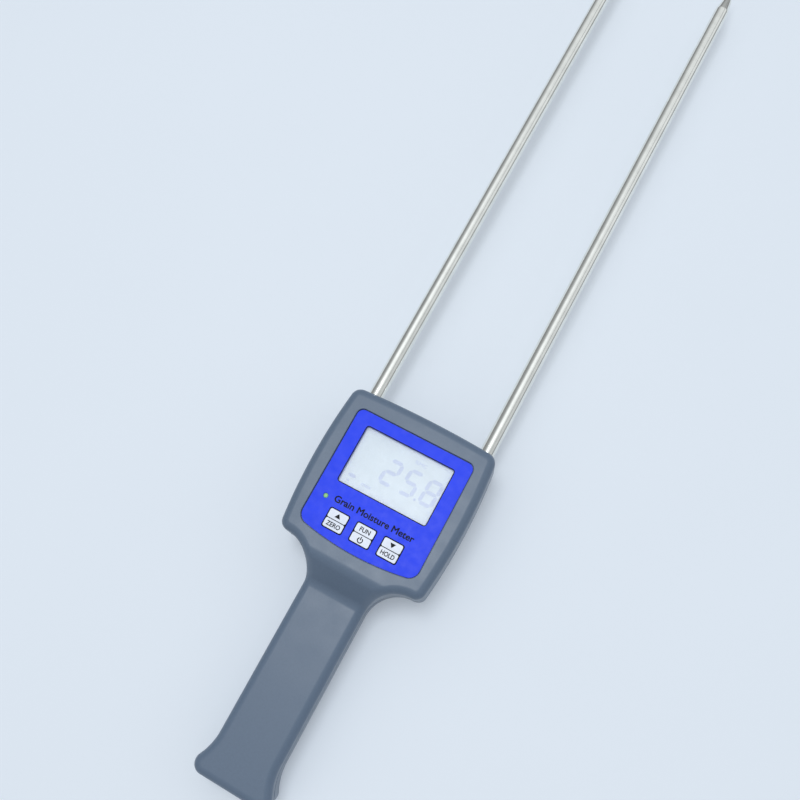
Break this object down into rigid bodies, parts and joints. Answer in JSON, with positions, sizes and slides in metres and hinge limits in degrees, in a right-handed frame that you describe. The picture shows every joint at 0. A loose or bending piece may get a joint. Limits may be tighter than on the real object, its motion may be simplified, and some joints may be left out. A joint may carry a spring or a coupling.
{
  "type": "grain moisture meter",
  "caption": "Hand-held grain moisture meter with a grip, a head with display and keys, and two long pointed steel probes.",
  "frame": {"origin": "centre of the whole box, seen from the front, at the level of the flat back", "axes": "+Y from the grip towards the probe tips, +Z out of the face, +X to the right of someone reading the display"},
  "size_m": [0.075, 0.46, 0.035],
  "materials": {
    "casing": "satin",
    "face_film": "satin",
    "key_pad": "satin",
    "clear_window": "gloss",
    "display": "gloss",
    "black_plastic": "matte",
    "white_plastic": "matte",
    "elastomer": "matte",
    "board": "satin",
    "lamp": "gloss",
    "probe_steel": "gloss",
    "plated_steel": "satin",
    "tinned_brass": "satin",
    "red_lead": "satin",
    "black_lead": "satin",
    "battery_jacket": "satin",
    "foam": "matte",
    "label": "satin"
  },
  "bodies": {
    "casing": {"amplifier_chip": "black_plastic", "battery": "battery_jacket", "battery_foam": "foam", "battery_lead_black": "black_lead", "battery_lead_red": "red_lead", "battery_plug": "white_plastic", "battery_socket": "plated_steel", "battery_stud": "plated_steel", "board_screw_1": "plated_steel", "board_screw_2": "plated_steel", "board_screw_3": "plated_steel", "board_screw_4": "plated_steel", "case_screw_grip": "plated_steel", "case_screw_head_left": "plated_steel", "case_screw_head_right": "plated_steel", "case_screw_shoulder_left": "plated_steel", "case_screw_shoulder_right": "plated_steel", "contact_strip_lower": "elastomer", "contact_strip_upper": "elastomer", "controller_chip": "black_plastic", "crystal_can": "plated_steel", "display_frame": "white_plastic", "display_glass": "display", "face_overlay": "face_film", "filter_capacitor": "black_plastic", "front_shell": "casing", "holder_screw_left": "plated_steel", "holder_screw_right": "plated_steel", "indicator_lamp": "lamp", "main_board": "board", "probe_bush_left": "black_plastic", "probe_bush_right": "black_plastic", "probe_holder": "black_plastic", "probe_lead_left": "black_lead", "probe_lead_right": "red_lead", "probe_left": "probe_steel", "probe_lug_left": "tinned_brass", "probe_lug_right": "tinned_brass", "probe_nut_front_left": "plated_steel", "probe_nut_front_right": "plated_steel", "probe_nut_rear_left": "plated_steel", "probe_nut_rear_right": "plated_steel", "probe_right": "probe_steel", "rear_label": "label", "rear_shell": "casing", "snap_connector": "black_plastic", "switch_body_hold": "black_plastic", "switch_body_power": "black_plastic", "switch_body_zero": "black_plastic", "window_pane": "clear_window"},
    "battery_door": {"battery_door": "casing"},
    "zero_key": {"key_zero": "key_pad", "switch_plunger_zero": "white_plastic"},
    "power_key": {"key_power": "key_pad", "switch_plunger_power": "white_plastic"},
    "hold_key": {"key_hold": "key_pad", "switch_plunger_hold": "white_plastic"}
  },
  "joints": [
    {"name": "zero_key_travel", "type": "slide", "parent": "casing", "child": "zero_key", "axis": [0, 0, -1], "range_m": [0, 0.0005], "stiffness_N_per_m": 600},
    {"name": "power_key_travel", "type": "slide", "parent": "casing", "child": "power_key", "axis": [0, 0, -1], "range_m": [0, 0.0005], "stiffness_N_per_m": 600},
    {"name": "hold_key_travel", "type": "slide", "parent": "casing", "child": "hold_key", "axis": [0, 0, -1], "range_m": [0, 0.0005], "stiffness_N_per_m": 600},
    {"name": "battery_door_slide", "type": "slide", "parent": "casing", "child": "battery_door", "axis": [0, -1, 0], "range_m": [0, 0.063]}
  ]
}
